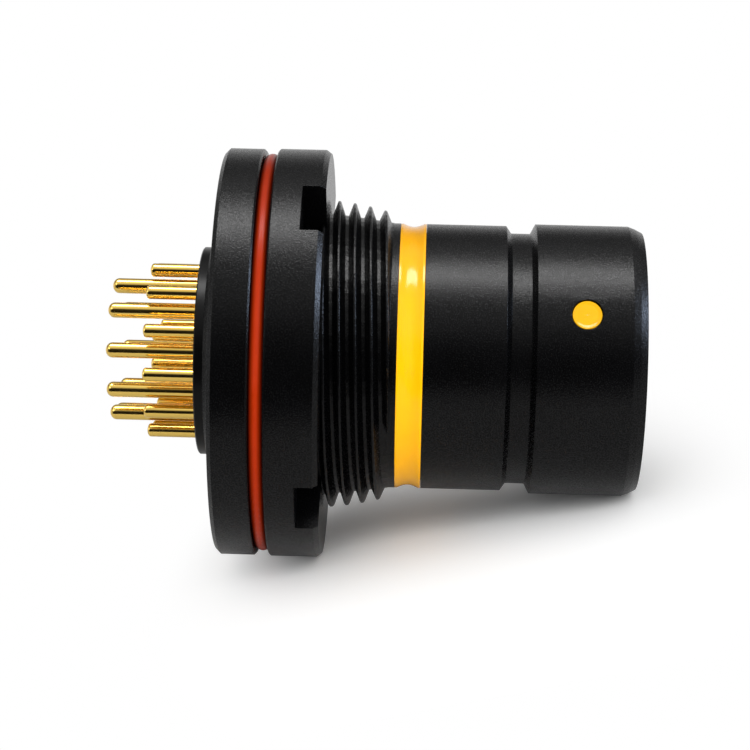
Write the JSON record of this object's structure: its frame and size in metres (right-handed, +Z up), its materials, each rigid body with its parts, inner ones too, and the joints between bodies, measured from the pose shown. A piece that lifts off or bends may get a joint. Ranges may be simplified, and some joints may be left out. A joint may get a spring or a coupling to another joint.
{
  "type": "push pull circular connector receptacle",
  "caption": "Round panel receptacle of a push-pull connector: flanged threaded shell with a slotted ring nut, panel seal, latch groove, keyed bore and straight board tails.",
  "frame": {"origin": "on the connector's axis, at the panel side of the flange", "axes": "+X along the axis, out of the mating end; -X along the board tails; +Z up as it stands in the picture"},
  "size_m": [0.0341, 0.0264, 0.0264],
  "materials": {
    "shell_black": "black anodised, satin",
    "nut_black": "black anodised, satin",
    "retainer_black": "black anodised",
    "panel_seal_rubber": "orange-red silicone",
    "insert_seal_rubber": "red silicone",
    "coding_plastic": "yellow, glossy",
    "insulator_plastic": "black moulding",
    "contact_gold": "gold plated, bright"
  },
  "bodies": {
    "shell": {"shell": "shell_black", "colour_band": "coding_plastic", "index_dot": "coding_plastic", "rear_insulator": "insulator_plastic", "front_insulator": "insulator_plastic", "insert_seal": "insert_seal_rubber", "insert_retainer": "retainer_black", "outer_pin_1": "contact_gold", "outer_pin_2": "contact_gold", "outer_pin_3": "contact_gold", "outer_pin_4": "contact_gold", "outer_pin_5": "contact_gold", "outer_pin_6": "contact_gold", "outer_pin_7": "contact_gold", "outer_pin_8": "contact_gold", "outer_pin_9": "contact_gold", "outer_pin_10": "contact_gold", "outer_pin_11": "contact_gold", "outer_pin_12": "contact_gold", "inner_pin_1": "contact_gold", "inner_pin_2": "contact_gold", "inner_pin_3": "contact_gold", "inner_pin_4": "contact_gold", "inner_pin_5": "contact_gold", "inner_pin_6": "contact_gold", "inner_pin_7": "contact_gold", "inner_pin_8": "contact_gold", "inner_pin_9": "contact_gold", "inner_pin_10": "contact_gold", "centre_pin_1": "contact_gold", "centre_pin_2": "contact_gold"},
    "panel_seal": {"panel_seal": "panel_seal_rubber"},
    "ring_nut": {"ring_nut": "nut_black"}
  },
  "joints": [
    {"name": "nut_turn", "type": "hinge", "parent": "shell", "child": "panel_seal", "pos_m": [0, 0, 0], "axis": [1, 0, 0], "range_deg": [0, 1350]},
    {"name": "nut_travel", "type": "slide", "parent": "panel_seal", "child": "ring_nut", "axis": [1, 0, 0], "range_m": [0, 0.00751]}
  ],
  "couplings": [
    {"joint": "nut_travel", "follows": "nut_turn", "m_per_rad": 0.00031831}
  ]
}
